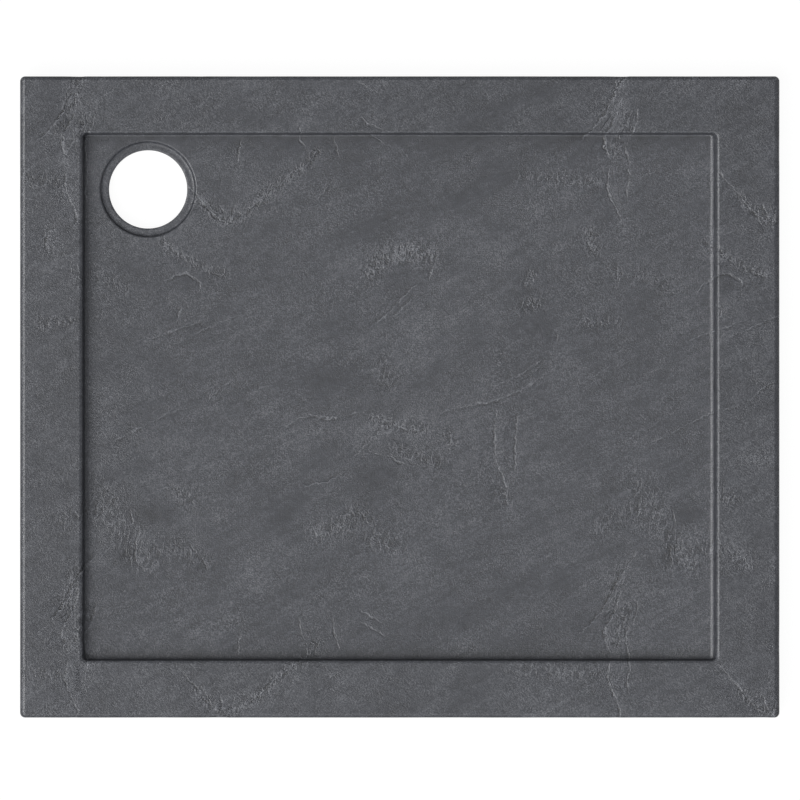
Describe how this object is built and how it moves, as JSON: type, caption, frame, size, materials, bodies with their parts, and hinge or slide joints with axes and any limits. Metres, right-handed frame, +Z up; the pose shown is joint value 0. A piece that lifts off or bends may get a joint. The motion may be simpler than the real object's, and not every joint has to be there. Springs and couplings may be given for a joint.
{
  "type": "shower tray",
  "caption": "Low-profile rectangular shower tray with a slate-look formed skin over cast stone resin, a flat rim, a shallow recess and a waste hole near one corner.",
  "frame": {"origin": "centre of the footprint on the underside, so z = 0 is the floor that the tray is bedded on", "axes": "+X along the long side, away from the waste; +Y to the back edge, the long edge nearest the waste; +Z up"},
  "size_m": [0.9, 0.76, 0.04],
  "materials": {
    "slate_skin": "acrylic-capped ABS sheet, formed over a slate-textured mould, dark grey, satin",
    "stone_resin": "cast polyester resin filled with crushed stone, matt buff",
    "glass_fibre": "chopped strand mat wetted out with resin, strands showing",
    "plywood": "sawn birch plywood, unfinished",
    "timber": "planed softwood, unfinished",
    "ring_plastic": "injection-moulded black ABS"
  },
  "bodies": {
    "root": {"slate_cap": "slate_skin", "resin_core": "stone_resin", "glass_mat": "glass_fibre", "base_board": "plywood", "waste_ring": "ring_plastic", "rim_bearer_front": "timber", "rim_bearer_back": "timber", "rim_bearer_left": "timber", "rim_bearer_right": "timber"}
  },
  "joints": []
}
